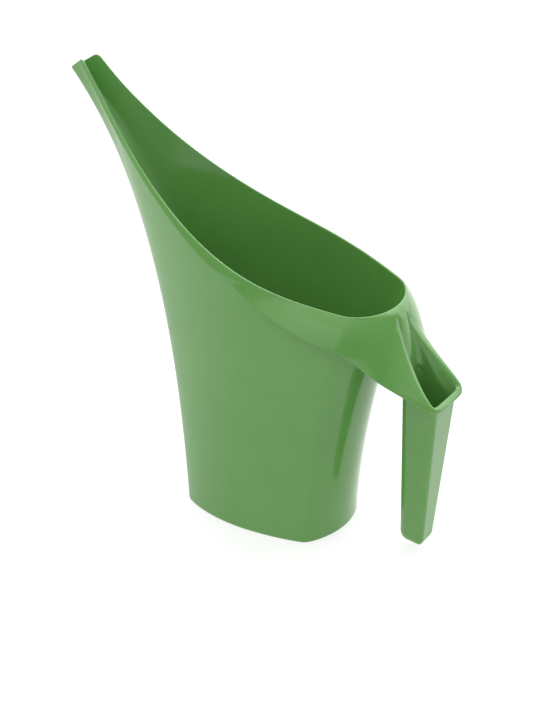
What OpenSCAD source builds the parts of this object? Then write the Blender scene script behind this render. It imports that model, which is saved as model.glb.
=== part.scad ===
// Open-topped watering can, moulded in one piece of gloss plastic.
// Frame: +Z up, ground at z = 0, spout towards -X, handle towards +X, symmetric about Y = 0.
// The origin is at the centre of the foot.

/* [Foot] */
// Length of the foot along X
foot_length = 140; // [130:1:150]
// Width of the foot across its two front corners
foot_front_width = 63; // [56:1:70]
// Width of the foot at its widest, under the middle of the can
foot_side_width = 98; // [90:1:104]
// Width of the foot across its two rear corners
foot_rear_width = 85; // [78:1:90]
// How far the front of the foot bulges ahead of its corners
foot_front_bulge = 9; // [5:1:14]
// How far the back of the foot bulges behind its corners
foot_rear_bulge = 15.5; // [10:0.5:20]
// Thickness of the floor panel
floor_thickness = 2.4; // [1.8:0.1:3]

/* [Wall] */
// Thickness of the wall everywhere
wall_thickness = 2.2; // [1.8:0.1:2.6]
// How far up the wall the spout starts, as a share of the wall's height
spout_start = 0.58; // [0.5:0.01:0.7]

/* [Mouth and spout] */
// Width of the mouth at its widest
mouth_width = 124.8; // [118:0.2:130]
// Distance of the mouth's widest place behind the origin
rim_side_x = 21; // [12:1:30]
// Height of the rim at the rear corners
rim_corner_height = 202.8; // [198:0.2:206]
// Distance of the rim's rear corners behind the origin
rim_corner_x = 88; // [84:1:92]
// Width of the mouth across the rear corners
rim_corner_width = 91; // [86:1:96]
// Distance of the rear of the rim behind the origin
rim_rear_x = 109; // [106:1:112]
// Height of the rear of the rim
rim_rear_height = 198.8; // [196:0.2:202]
// Distance of the spout's two upper lips ahead of the origin
lip_reach = 167.5; // [160:0.5:175]
// Height of the spout's upper lips
lip_height = 352.5; // [345:0.5:360]
// How far the keel runs ahead of the lips
keel_reach = 15.5; // [12:0.5:18]
// How far the keel's end lies below the lips
keel_drop = 10; // [7:0.5:13]
// Distance ahead of the origin of the place where the spout meets the mouth
spout_root_x = 138; // [132:1:144]
// Width of the mouth at that place
spout_root_width = 39.4; // [37:0.2:42]

/* [Collar] */
// Width of the collar's lower edge across the rim's rear corners
collar_corner_width = 124.8; // [122:0.2:130]
// Height of the collar's lower edge below the rim's rear corners
collar_corner_height = 183.2; // [178:0.2:188]
// Thickness of the collar
collar_thickness = 2; // [1.6:0.1:2.4]
// How far the collar's rear end lies behind the origin
collar_end_x = 157; // [154:1:160]
// Height of the collar's rear end
collar_end_height = 131.6; // [128:0.2:135]

/* [Grip] */
// Distance of the grip's front face behind the origin
grip_front_x = 120.4; // [120:0.1:124]
// Depth of the grip, front to back, at its lower end
grip_foot_depth = 21.4; // [19:0.1:24]
// Depth of the grip, front to back, at its upper end
grip_top_depth = 33.8; // [31:0.1:35]
// Width of the grip at its lower end
grip_foot_width = 23.4; // [22:0.2:26]
// Width of the grip at its upper end
grip_top_width = 41.6; // [37:0.2:43]
// Height of the grip's lower end above the ground
grip_clearance = 7.3; // [4:0.1:12]
// How much narrower the grip is in front than behind, as a share of its width
grip_taper = 0.33; // [0.2:0.01:0.36]
// Radius of the grip's two upright edges in front, where the fingers close round it
grip_front_radius = 7; // [5:0.1:8]
// Radius of the grip's two upright edges behind
grip_rear_radius = 5; // [3:0.1:6]
// Height of the grip's front where it meets the pocket
grip_top_height = 150; // [145:0.5:155]

/* [Hidden] */

PLASTIC = [0.30, 0.52, 0.24];
SMALL = 0.01;

// Outlines run round one half of the can, from the nose (0) past the front corner (1),
// the widest place (2) and the rear corner (3) to the middle of the back (4).
BACK = 4;
REAR_CORNER = 3;
LIP = 0.83;
foot_front_x = -foot_length / 2;
foot_rear_x = foot_length / 2;
front_corner = [foot_front_x + foot_front_bulge, foot_front_width / 2];
side_point = [4, foot_side_width / 2];
rear_corner = [foot_rear_x - foot_rear_bulge, foot_rear_width / 2];
FOOT = [
    [[foot_front_x, 0], [foot_front_x, 14], front_corner - [5, 3.5], front_corner],
    [front_corner, front_corner + [16, 10.5], side_point - [24, 0], side_point],
    [side_point, side_point + [18, 0], rear_corner + [-13.5, 4], rear_corner],
    [rear_corner, rear_corner + [6.5, -4.5], [foot_rear_x, 20], [foot_rear_x, 0]],
];

// The rim seen from the side: the height at which it cuts the wall off at x. It rises from
// the rear corner to the lips, and the spout's end is cut back from the lips to the keel.
RISE_SHARE = 0.41;
LIP_ROUNDING = 4;
rear_fall = rim_corner_height - rim_rear_height;
lip_climb = lip_height - rim_corner_height;
function rim_rise(t) = RISE_SHARE * t + (1 - RISE_SHARE) * pow(t, 3);
function mouth_z(x) =
    x > rim_corner_x
    ? rim_corner_height - rear_fall * (x - rim_corner_x) / (rim_rear_x - rim_corner_x)
    : rim_corner_height + lip_climb * rim_rise((rim_corner_x - x) / (rim_corner_x + lip_reach));
function spout_end_z(x) = lip_height + keel_drop * (x + lip_reach) / keel_reach;
function cut_z(x) =
    let (
        a = mouth_z(x),
        b = spout_end_z(x)
    )
    min(a, b) - pow(max(LIP_ROUNDING - abs(a - b), 0), 2) / (4 * LIP_ROUNDING);

// How each upright line of the wall leans: the share of its whole lean that it has
// at a third and at two thirds of the height of the lips, at the five outline places.
LEAN = [[0.10, 0.07], [0.08, 0.24], [0.04, 0.31], [0.00, 0.44], [0.10, 0.41]];
function ease(t) = t * t * (3 - 2 * t);
function lean(u) =
    let (i = min(floor(u), BACK - 1))
    LEAN[i] + (LEAN[i + 1] - LEAN[i]) * ease(u - i);

// The share of its whole lean that a line with lean k has at height z.
function leant(k, z) =
    let (h = (z - floor_thickness) / (lip_height - floor_thickness))
    3 * k[0] * pow(1 - h, 2) * h + 3 * k[1] * (1 - h) * h * h + pow(h, 3);

// The wall is part of a taller skin that goes on to the height of the lips all round.
// TOP is that skin's upper outline. Each of its five places lies beyond a place on the rim.
function beyond(u, x, half_width) =
    let (foot = along(FOOT, u))
    foot + ([x, half_width] - foot) / leant(lean(u), cut_z(x));
top_nose = beyond(0, -lip_reach - keel_reach, 0);
top_front = beyond(1, -spout_root_x, spout_root_width / 2);
top_side = beyond(2, rim_side_x, mouth_width / 2);
top_corner = beyond(3, rim_corner_x, rim_corner_width / 2);
top_rear = beyond(4, rim_rear_x, 0);
front_way = [cos(34.5), sin(34.5)];
corner_way = [cos(23), -sin(23)];
TOP = [
    [top_nose, top_nose + [0, 9.5], top_front - 27.5 * front_way, top_front],
    [top_front, top_front + 24 * front_way, top_side - [81, 0], top_side],
    [top_side, top_side + [45, 0], top_corner - 24 * corner_way, top_corner],
    [top_corner, top_corner + 24 * corner_way, top_rear + [0, 24.5], top_rear],
];

// The collar's upper edge runs along the rim and then round the open pocket.
// The saddle curve leads from the rim's rear corner to the front of the pocket.
pocket_apex = [112.8, 0, 195.3];
pocket_corner = [149.2, 20.2, 137.2];
pocket_end = [151.6, 0, 134.9];
rim_corner = rim(REAR_CORNER);
SADDLE = [rim_corner, rim_corner + [11, -5, -2], pocket_apex + [-0.5, 20, 2.7], pocket_apex];
// Where on the saddle curve the pocket's side begins.
POCKET_START = 0.9;
pocket_front = bezier(SADDLE, POCKET_START);
POCKET_SIDE = [pocket_front, [115, 8, 183], [136, 18.5, 152], pocket_corner];
POCKET_END = [pocket_corner, pocket_corner + [2.6, 0.3, -2.4], pocket_end + [0, 15.5, 0], pocket_end];

// The collar's lower edge, from where it leaves the rim to the middle of its rear end.
// It leaves the rim at this place on the outline. Before that, along the spout, the collar
// is a thin strip that grows wider to the rear.
COLLAR_START = 1.62;
STRIP_START = [0, 1.6, -1];
STRIP_GROWTH = [0, 0, -1.8];
collar_start = rim(COLLAR_START) + STRIP_START + STRIP_GROWTH;
collar_corner = [rim_corner_x, collar_corner_width / 2, collar_corner_height];
collar_flank = [118, 40.4, 154.1];
collar_tail = [150.5, 27.5, 134.3];
collar_end = [collar_end_x, 0, collar_end_height];
HEM = [
    [collar_start, collar_start + [34, 2.8, -25.2], collar_corner + [-42, 18, 14.5], collar_corner],
    [collar_corner, collar_corner + [7.9, -3.4, -2.7], collar_flank + [-8.5, 5.4, 7.5], collar_flank],
    [collar_flank, collar_flank + [10, -5.2, -7.6], collar_tail + [-8, 4.2, 6], collar_tail],
    [collar_tail, collar_tail + [5.8, -3.4, -4.4], collar_end + [0, 19.5, 0], collar_end],
];

function bezier(p, t) =
    pow(1 - t, 3) * p[0] + 3 * pow(1 - t, 2) * t * p[1] + 3 * (1 - t) * t * t * p[2] + pow(t, 3) * p[3];

// A point at u on a chain of curves.
function along(chain, u) =
    let (i = max(0, min(floor(u), len(chain) - 1)))
    bezier(chain[i], u - i);

function flip(p) = [p[0], -p[1], p[2]];
function unit(a) = a / norm(a);

// A point on the outside of the skin at u round the outline and at height z.
function skin(u, z) =
    u < 0 ? flip(skin(-u, z)) :
    u > BACK ? flip(skin(2 * BACK - u, z)) :
    let (
        foot = along(FOOT, u),
        out = foot + (along(TOP, u) - foot) * leant(lean(u), z)
    )
    [out[0], out[1], z];

// The height at which the rim cuts the skin off at u, found by halving the space it lies in.
function rim_z(u, low = rim_rear_height / 2, high = lip_height, steps = 20) =
    let (middle = (low + high) / 2)
    steps == 0 ? middle :
    middle < cut_z(skin(u, middle)[0]) ? rim_z(u, middle, high, steps - 1) :
    rim_z(u, low, middle, steps - 1);

function rim(u) = skin(u, rim_z(u));

// The outward normal of the skin, and a point on the inside of the wall.
function out(u, z) =
    unit(cross(skin(u, z + SMALL) - skin(u, z - SMALL), skin(u + SMALL, z) - skin(u - SMALL, z)));
function inside(u, z) = skin(u, z) - wall_thickness * out(u, z);

// Places round the whole outline, closer together where it turns quickly.
PER_PART = [12, 12, 7, 10];
HALF = [for (i = [0:BACK - 1], j = [0:PER_PART[i] - 1]) i + j / PER_PART[i]];
ROUND = concat(HALF, [BACK], [for (i = [len(HALF) - 1:-1:1]) 2 * BACK - HALF[i]]);
RIM_Z = [for (u = ROUND) rim_z(u)];
ROWS = 14;
function row_z(i, j) = floor_thickness + (RIM_Z[i] - floor_thickness) * j / ROWS;

// The faces of a shell whose outer and inner points lie in rows of n places.
// A cell at column i and row j belongs to the shell where keep[j][i] is true.
// A closed shell joins its last column to its first.
function shell_faces(n, rows, keep, closed) =
    let (
        m = n * (rows + 1),
        cols = closed ? n : n - 1,
        kept = function(i, j)
            j >= 0 && j < rows && (closed || (i >= 0 && i < cols)) && keep[j][(i + cols) % cols]
    )
    [for (j = [0:rows - 1], i = [0:cols - 1]) if (kept(i, j))
        let (
            k = (i + 1) % n,
            a = j * n + i,
            b = j * n + k,
            c = (j + 1) * n + k,
            d = (j + 1) * n + i
        )
        each concat(
            [[a, b, c], [a, c, d], [m + a, m + c, m + b], [m + a, m + d, m + c]],
            kept(i, j - 1) ? [] : [[a, m + a, m + b], [a, m + b, b]],
            kept(i, j + 1) ? [] : [[d, c, m + c], [d, m + c, m + d]],
            kept(i - 1, j) ? [] : [[a, d, m + d], [a, m + d, m + a]],
            kept(i + 1, j) ? [] : [[b, m + c, c], [b, m + b, m + c]]
        )
    ];

// A shell made of outer and inner points, given as rows.
module shell(outer, inner, keep, closed) {
    n = len(outer[0]);
    rows = len(outer) - 1;
    points = [for (row = concat(outer, inner)) each row];
    polyhedron(points, shell_faces(n, rows, keep, closed));
}

// Every cell of a grid.
function all_cells(n, rows) = [for (j = [0:rows - 1]) [for (i = [0:n - 1]) true]];

// The spout is the front part of the wall above spout_start.
SPOUT_EDGE = 1.4;
function cell_middle(i) = (ROUND[i] + (i + 1 < len(ROUND) ? ROUND[i + 1] : 2 * BACK)) / 2;
function in_spout(i, j) =
    min(cell_middle(i), 2 * BACK - cell_middle(i)) < SPOUT_EDGE && j >= round(spout_start * ROWS);

module wall_part(of_spout) {
    outer = [for (j = [0:ROWS]) [for (i = [0:len(ROUND) - 1]) skin(ROUND[i], row_z(i, j))]];
    inner = [for (j = [0:ROWS]) [for (i = [0:len(ROUND) - 1]) inside(ROUND[i], row_z(i, j))]];
    keep = [for (j = [0:ROWS - 1]) [for (i = [0:len(ROUND) - 1]) in_spout(i, j) == of_spout]];
    shell(outer, inner, keep, true);
}

// The flat floor that the can stands on, which carries the wall round its edge.
module floor_panel() {
    color(PLASTIC)
    linear_extrude(floor_thickness)
    polygon([for (u = ROUND) let (p = skin(u, floor_thickness)) [p[0], p[1]]]);
}

// The upright wall of the pot, below and behind the spout.
module pot_wall() {
    color(PLASTIC) wall_part(false);
}

// The open channel that the water is poured from.
module spout() {
    color(PLASTIC) wall_part(true);
}

// The rounded edge on top of the wall, all round the mouth and the spout.
BEAD_SIDES = 5;
function bead_ring(i) =
    let (
        u = ROUND[i],
        outer = skin(u, RIM_Z[i]),
        inner = inside(u, RIM_Z[i]),
        across = (outer - inner) / 2,
        way = unit(rim(u + SMALL) - rim(u - SMALL)),
        up = cross(way, across)
    )
    [for (k = [0:BEAD_SIDES])
        let (angle = 180 * k / BEAD_SIDES)
        (outer + inner) / 2 + across * cos(angle) + up * sin(angle)];

module rim_bead() {
    rings = [for (i = [0:len(ROUND) - 1]) bead_ring(i)];
    n = BEAD_SIDES + 1;
    count = len(rings);
    faces = [for (i = [0:count - 1], k = [0:n - 1])
        let (a = i * n + k, b = i * n + (k + 1) % n, c = ((i + 1) % count) * n)
        each [[a, b, c + (k + 1) % n], [a, c + (k + 1) % n, c + k]]];
    color(PLASTIC) polyhedron([for (r = rings) each r], faces);
}

// The collar runs from the lips (0) past the place where it leaves the rim (1), the rear
// corner (2), the flank (3) and the pocket's rear corner (4) to the middle of its end (5).
COLLAR_END = 5;
function collar_top(s) =
    s <= 1 ? rim(LIP + s * (COLLAR_START - LIP)) :
    s <= 2 ? rim(COLLAR_START + (s - 1) * (REAR_CORNER - COLLAR_START)) :
    s <= 3 ? bezier(SADDLE, (s - 2) * POCKET_START) :
    s <= 4 ? bezier(POCKET_SIDE, s - 3) :
    bezier(POCKET_END, s - 4);

function collar_hem(s) =
    s <= 1 ? collar_top(s) + STRIP_START + STRIP_GROWTH * s :
    along(HEM, s - 1);

// How far the collar bulges between its two edges: nothing along the spout, most at the
// flank and beside the pocket, and less again at its end.
FLANK_BULGE = 3;
END_BULGE = 1;
function collar_bulge(s) =
    s <= 1 ? 0 :
    s <= 3 ? FLANK_BULGE * (s - 1) / 2 :
    s <= 4 ? FLANK_BULGE :
    FLANK_BULGE + (END_BULGE - FLANK_BULGE) * (s - 4);

// The collar's outward direction. At the very end it lies in the middle plane.
COLLAR_STEP = 0.02;
function collar_out(s) =
    let (
        lo = max(0, s - COLLAR_STEP),
        hi = min(COLLAR_END, s + COLLAR_STEP),
        down = collar_hem(s) - collar_top(s)
    )
    s > COLLAR_END - SMALL ? unit([-down[2], 0, down[0]]) :
    unit(cross(collar_hem(hi) - collar_hem(lo) + collar_top(hi) - collar_top(lo), down));

// A point on the outside of the collar, at s along it and t from its top to its hem.
function collar_point(s, t) =
    collar_top(s) + (collar_hem(s) - collar_top(s)) * t + collar_out(s) * collar_bulge(s) * 4 * t * (1 - t);

COLLAR_S = concat(
    [for (i = [0:7]) i / 8],
    [for (i = [0:9]) 1 + i / 10],
    [for (i = [0:7]) 2 + i / 8],
    [for (i = [0:9]) 3 + i / 10],
    [for (i = [0:6]) 4 + i / 6]
);
COLLAR_ROWS = 5;
// Thickness of the thin strip along the spout, as a share of its width.
STRIP_THICKNESS = 0.4;

module collar_side() {
    width = [for (s = COLLAR_S) norm(collar_hem(s) - collar_top(s))];
    outer = [for (j = [0:COLLAR_ROWS]) [for (s = COLLAR_S) collar_point(s, 1 - j / COLLAR_ROWS)]];
    inner = [for (j = [0:COLLAR_ROWS]) [for (i = [0:len(COLLAR_S) - 1])
        outer[j][i] - collar_out(COLLAR_S[i]) * min(collar_thickness, STRIP_THICKNESS * width[i])]];
    shell(outer, inner, all_cells(len(COLLAR_S) - 1, COLLAR_ROWS), false);
}

// The narrow saddle between the rear of the mouth and the pocket.
SADDLE_STEPS = 10;
SADDLE_REACH = 0.97;
module collar_saddle() {
    steps = [for (i = [-SADDLE_STEPS:SADDLE_STEPS]) i / SADDLE_STEPS];
    side = function(t, p) t < 0 ? flip(p) : p;
    front = [for (t = steps) side(t, rim(BACK - abs(t) * SADDLE_REACH))];
    rear = [for (t = steps) side(t, bezier(SADDLE, 1 - abs(t) * SADDLE_REACH))];
    down = [0, 0, -collar_thickness];
    shell([front, rear], [[for (p = front) p + down], [for (p = rear) p + down]],
        all_cells(2 * SADDLE_STEPS, 1), false);
}

// The collar sweeps out from the rim and back over the grip.
module collar() {
    color(PLASTIC) {
        collar_side();
        mirror([0, 1, 0]) collar_side();
        collar_saddle();
    }
}

// How far up the grip a height lies, from its lower end (0) to its top at the front (1).
function grip_share(z) = (z - grip_clearance) / (grip_top_height - grip_clearance);

// Places round half of the grip: front face (0 to 1), front edge (1 to 2), side (2 to 3),
// rear edge (3 to 4) and rear face (4 to 5).
GRIP_BACK = 5;
LEAST_RADIUS = 1;
function grip_section(w, z, inset) =
    let (
        q = grip_share(z),
        x0 = grip_front_x + inset,
        x1 = grip_front_x + grip_foot_depth + (grip_top_depth - grip_foot_depth) * q - inset,
        half = (grip_foot_width + (grip_top_width - grip_foot_width) * q) / 2 - inset,
        f = max(grip_front_radius - inset, LEAST_RADIUS),
        r = max(grip_rear_radius - inset, LEAST_RADIUS),
        p = w <= 1 ? [x0, w * (half - f)] :
            w <= 2 ? [x0 + f - f * cos(90 * (w - 1)), half - f + f * sin(90 * (w - 1))] :
            w <= 3 ? [x0 + f + (x1 - x0 - f - r) * (w - 2), half] :
            w <= 4 ? [x1 - r + r * sin(90 * (w - 3)), half - r + r * cos(90 * (w - 3))] :
            [x1, (GRIP_BACK - w) * (half - r)],
        ahead = (x1 + inset - p[0]) / (x1 - x0 + 2 * inset),
        narrowing = grip_taper * (half + inset) / half
    )
    [p[0], p[1] * (1 - narrowing * ahead), z];

EDGE_STEPS = 4;
GRIP_HALF = concat([0, 0.5], [for (i = [0:3 * EDGE_STEPS]) 1 + i / EDGE_STEPS], [4.5, GRIP_BACK]);
GRIP_ROUND = concat(GRIP_HALF, [for (i = [len(GRIP_HALF) - 2:-1:1]) 2 * GRIP_BACK - GRIP_HALF[i]]);

// The top ring of the grip slopes down to the rear, under the collar.
GRIP_SLOPE = 0.8;
function grip_top_z(w) = grip_top_height
    - GRIP_SLOPE * (grip_section(w, grip_top_height, 0)[0] - grip_front_x);

// A point of the grip at w round it and q up it, from its lower end to its sloping top ring.
function grip_point(w, q, inset) =
    w > GRIP_BACK ? flip(grip_point(2 * GRIP_BACK - w, q, inset)) :
    grip_section(w, grip_clearance + (grip_top_z(w) - grip_clearance) * q, inset);

// The lower end is closed and rounded, and draws in by this share of its radius.
END_RADIUS = 8;
END_TAPER = 0.6;
END_STEPS = 4;
GRIP_RINGS = 8;
END_SHARE = END_RADIUS / (grip_top_height - grip_clearance);

// The hollow grip that hangs from the pocket, clear of the ground.
module grip() {
    low = [for (k = [0:END_STEPS - 1]) 90 * k / END_STEPS];
    outer = concat(
        [for (a = low) [for (w = GRIP_ROUND)
            let (p = grip_point(w, END_SHARE, END_RADIUS * END_TAPER * (1 - sin(a))))
            [p[0], p[1], grip_clearance + END_RADIUS * (1 - cos(a))]]],
        [for (j = [0:GRIP_RINGS]) [for (w = GRIP_ROUND)
            grip_point(w, END_SHARE + (1 - END_SHARE) * j / GRIP_RINGS, 0)]]
    );
    inner = [for (j = [0:GRIP_RINGS]) [for (w = GRIP_ROUND)
        grip_point(w, END_SHARE + (1 - END_SHARE) * j / GRIP_RINGS, wall_thickness)]];
    n = len(GRIP_ROUND);
    rows = len(outer) - 1;
    m = n * len(outer);
    top = rows * n;
    inner_top = m + GRIP_RINGS * n;
    under = inner_top + n;
    middle = function(ring) [(ring[0][0] + ring[n / 2][0]) / 2, 0, (ring[0][2] + ring[n / 2][2]) / 2];
    skin = function(start, count, out) [for (j = [0:count - 1], i = [0:n - 1])
        let (a = start + j * n + i, b = start + j * n + (i + 1) % n)
        each out ? [[a, b, b + n], [a, b + n, a + n]] : [[a, b + n, b], [a, a + n, b + n]]];
    faces = concat(
        skin(0, rows, true),
        skin(m, GRIP_RINGS, false),
        [for (i = [0:n - 1]) [under, (i + 1) % n, i]],
        [for (i = [0:n - 1]) [under + 1, m + i, m + (i + 1) % n]],
        [for (i = [0:n - 1])
            let (k = (i + 1) % n)
            each [[top + i, top + k, inner_top + k], [top + i, inner_top + k, inner_top + i]]]
    );
    points = concat([for (ring = concat(outer, inner)) each ring], [middle(outer[0]), middle(inner[0])]);
    color(PLASTIC) polyhedron(points, faces);
}

// The edge of the open pocket, matched to the places round the grip.
function pocket_edge(w) =
    w > GRIP_BACK ? flip(pocket_edge(2 * GRIP_BACK - w)) :
    w <= 1 ? bezier(SADDLE, 1 - w * (1 - POCKET_START)) :
    w <= 3 ? bezier(POCKET_SIDE, (w - 1) / 2) :
    bezier(POCKET_END, (w - 3) / 2);

POCKET_ROWS = 6;
// At its edge the lining's back lies outwards from this upright line, and a little lower.
POCKET_CENTRE = [135, 0];
BACK_OUT = 0.8;
BACK_DOWN = 0.4;

// The open pocket that leads down from the collar into the grip.
module handle_pocket() {
    lining = [for (j = [0:POCKET_ROWS]) [for (w = GRIP_ROUND)
        let (q = j / POCKET_ROWS)
        grip_point(w, 1, wall_thickness) * (1 - q) + pocket_edge(w) * q]];
    back = [for (j = [0:POCKET_ROWS]) [for (i = [0:len(GRIP_ROUND) - 1])
        let (
            q = j / POCKET_ROWS,
            w = GRIP_ROUND[i],
            foot = grip_point(w, 1, 0) - grip_point(w, 1, wall_thickness),
            p = lining[j][i],
            out = unit([p[0] - POCKET_CENTRE[0], p[1] - POCKET_CENTRE[1], 0]),
            away = wall_thickness * (BACK_OUT * out - [0, 0, BACK_DOWN])
        )
        p + foot * (1 - q) + away * q]];
    color(PLASTIC) shell(back, lining, all_cells(len(GRIP_ROUND), POCKET_ROWS), true);
}

floor_panel();
pot_wall();
spout();
rim_bead();
collar();
handle_pocket();
grip();
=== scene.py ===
import bpy
import numpy as np
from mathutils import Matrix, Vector


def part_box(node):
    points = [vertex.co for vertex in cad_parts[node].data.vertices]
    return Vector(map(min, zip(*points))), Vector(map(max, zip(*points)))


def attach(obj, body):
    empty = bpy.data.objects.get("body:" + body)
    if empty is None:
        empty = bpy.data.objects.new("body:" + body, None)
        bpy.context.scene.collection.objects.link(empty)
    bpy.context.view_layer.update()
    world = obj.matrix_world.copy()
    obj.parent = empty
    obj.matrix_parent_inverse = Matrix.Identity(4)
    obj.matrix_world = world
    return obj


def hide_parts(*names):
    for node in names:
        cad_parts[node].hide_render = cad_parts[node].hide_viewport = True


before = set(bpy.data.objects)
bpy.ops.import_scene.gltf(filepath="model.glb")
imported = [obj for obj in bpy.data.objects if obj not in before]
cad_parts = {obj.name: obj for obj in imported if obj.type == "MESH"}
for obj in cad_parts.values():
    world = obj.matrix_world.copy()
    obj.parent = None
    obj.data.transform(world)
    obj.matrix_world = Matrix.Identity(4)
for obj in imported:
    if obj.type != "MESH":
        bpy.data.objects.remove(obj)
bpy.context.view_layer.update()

# A plastic watering can. It is one moulding, made here as the seven regions that the frame names,
# each a closed mesh. Its middle plane is y = 0, its spout points to -x and its grip hangs at +x.

MM = 0.001  # metres in a millimetre: the shapes are worked out in millimetres


def box_mm(node):
    """The lowest and highest corner of a CAD node, in millimetres."""
    low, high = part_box(node)
    return np.array(low) / MM, np.array(high) / MM


# ------------------------------------------------------------------ sizes from the frame
foot_low, foot_high = box_mm("floor_panel")
wall_high = box_mm("pot_wall")[1]
spout_low, spout_high = box_mm("spout")
bead_low = box_mm("rim_bead")[0]
collar_high = box_mm("collar")[1]
grip_low, grip_high = box_mm("grip")

FOOT_FRONT_X, FOOT_REAR_X = foot_low[0], foot_high[0]
FLOOR = foot_high[2]
MOUTH_HALF_WIDTH = wall_high[1]
RIM_REAR_X = wall_high[0]
RIM_REAR_Z = bead_low[2]
KEEL_X = spout_low[0]
LIP_Z = spout_high[2] + 0.5  # before the lips' corners are rounded off
COLLAR_END_X = collar_high[0]
GRIP_FRONT_X = grip_low[0]
GRIP_LOW_Z, GRIP_TOP_Z = grip_low[2], grip_high[2]

WALL = 2.2
COLLAR_THICKNESS = 2.0
RIM_CORNER_X, RIM_CORNER_Z = 88.0, 202.8
SPOUT_END_RUN, SPOUT_END_RISE = 15.5, 10
LIP_X = KEEL_X + SPOUT_END_RUN

# ------------------------------------------------------------------ curves
# Half an outline runs from the nose (0) past the front corner (1) and the widest place (2) to the
# rear corner (3) and the back (4). The other half is its mirror image.
REAR_CORNER = 3
BACK = 4


def vec(*values):
    """A point or a direction."""
    return np.array(values, float)


UP = vec(0, 0, 1)
LEVEL = vec(1, 1, 0)  # times a direction, leaves its level part


def unit(a):
    """The directions of a, each of length 1."""
    return a / np.maximum(np.linalg.norm(a, axis=-1, keepdims=True), 1e-12)


def flip(points):
    """The mirror image on the other side of the middle plane."""
    return points * vec(1, -1, 1)


def sign(values):
    """1 or -1 for each value, never 0."""
    return np.sign(values + 1e-9)


def ease(t):
    """A smooth step: 0 up to t = 0, and 1 from t = 1."""
    t = np.clip(t, 0, 1)
    return t * t * (3 - 2 * t)


def bezier(p, t):
    """Points at t on cubic curves whose four corners lie along the last axis but one of p."""
    t = np.asarray(t, float)[..., None]
    ends = (1 - t) ** 3 * p[..., 0, :] + t**3 * p[..., 3, :]
    return ends + 3 * (1 - t) ** 2 * t * p[..., 1, :] + 3 * (1 - t) * t**2 * p[..., 2, :]


def along(chain, u):
    """Points at u on a chain of curves, the first of which runs from 0 to 1."""
    chain = np.array(chain, float)
    i = np.clip(np.floor(u), 0, len(chain) - 1).astype(int)
    return bezier(chain[i], u - i)


# ------------------------------------------------------------------ the wall
front_corner = vec(FOOT_FRONT_X + 9, 31.5)
side_point = vec(4, foot_high[1])
rear_corner = vec(FOOT_REAR_X - 15.5, 42.5)
FOOT = [
    [vec(FOOT_FRONT_X, 0), vec(FOOT_FRONT_X, 14), front_corner - vec(5, 3.5), front_corner],
    [front_corner, front_corner + vec(16, 10.5), side_point - vec(24, 0), side_point],
    [side_point, side_point + vec(18, 0), rear_corner + vec(-13.5, 4), rear_corner],
    [rear_corner, rear_corner + vec(6.5, -4.5), vec(FOOT_REAR_X, 20), vec(FOOT_REAR_X, 0)],
]

RISE_SHARE = 0.41  # of the mouth's rise to the lips that is straight, the rest steepens
LIP_ROUNDING = 4.0
SPOUT_END_SLOPE = SPOUT_END_RISE / SPOUT_END_RUN


def cut_z(x):
    """The height at which the mouth cuts the wall off at x, seen from the side."""
    rear = RIM_CORNER_Z - (RIM_CORNER_Z - RIM_REAR_Z) * (x - RIM_CORNER_X) / (RIM_REAR_X - RIM_CORNER_X)
    t = (RIM_CORNER_X - x) / (RIM_CORNER_X - LIP_X)
    front = RIM_CORNER_Z + (LIP_Z - RIM_CORNER_Z) * (RISE_SHARE * t + (1 - RISE_SHARE) * t**3)
    mouth = np.where(x > RIM_CORNER_X, rear, front)
    end = LIP_Z + SPOUT_END_SLOPE * (x - LIP_X)
    rounding = np.maximum(LIP_ROUNDING - np.abs(mouth - end), 0) ** 2 / (4 * LIP_ROUNDING)
    return np.minimum(mouth, end) - rounding


# An upright line leans by a cubic curve from 0 at the foot to 1 at the top. These are the curve's
# two middle control values at each of the five places on half the outline.
LEAN = np.array([[0.10, 0.07], [0.08, 0.24], [0.04, 0.31], [0.00, 0.44], [0.10, 0.41]])


def leant(u, z):
    """The share of its whole lean that the upright line at u has reached at height z."""
    i = np.clip(np.floor(u), 0, BACK - 1).astype(int)
    k = LEAN[i] + (LEAN[i + 1] - LEAN[i]) * ease(u - i)[..., None]
    h = (z - FLOOR) / (LIP_Z - FLOOR)
    return 3 * k[..., 0] * (1 - h) ** 2 * h + 3 * k[..., 1] * (1 - h) * h**2 + h**3


def beyond(u, x, half_width):
    """The place on the skin's upper outline whose line passes through this place on the rim."""
    u = np.array(float(u))
    foot = along(FOOT, u)
    return foot + (vec(x, half_width) - foot) / leant(u, cut_z(x))


def heading(degrees):
    """A level direction, turned from +x towards +y."""
    return vec(np.cos(np.radians(degrees)), np.sin(np.radians(degrees)))


SPOUT_HEADING = heading(34.5)
CORNER_HEADING = heading(-23)
top_nose = beyond(0, KEEL_X, 0)
top_front = beyond(1, -138, 19.7)
top_side = beyond(2, 21, MOUTH_HALF_WIDTH)
top_corner = beyond(REAR_CORNER, RIM_CORNER_X, 45.5)
top_rear = beyond(BACK, RIM_REAR_X, 0)
TOP = [
    [top_nose, top_nose + vec(0, 9.5), top_front - 27.5 * SPOUT_HEADING, top_front],
    [top_front, top_front + 24 * SPOUT_HEADING, top_side - vec(81, 0), top_side],
    [top_side, top_side + vec(45, 0), top_corner - 24 * CORNER_HEADING, top_corner],
    [top_corner, top_corner + 24 * CORNER_HEADING, top_rear + vec(0, 24.5), top_rear],
]

# A point within CORNER_SPAN of a rear corner is a mean over up to CORNER_SOFTENING to either side.
CORNER_SOFTENING = 0.07
CORNER_SPAN = 0.35


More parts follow.
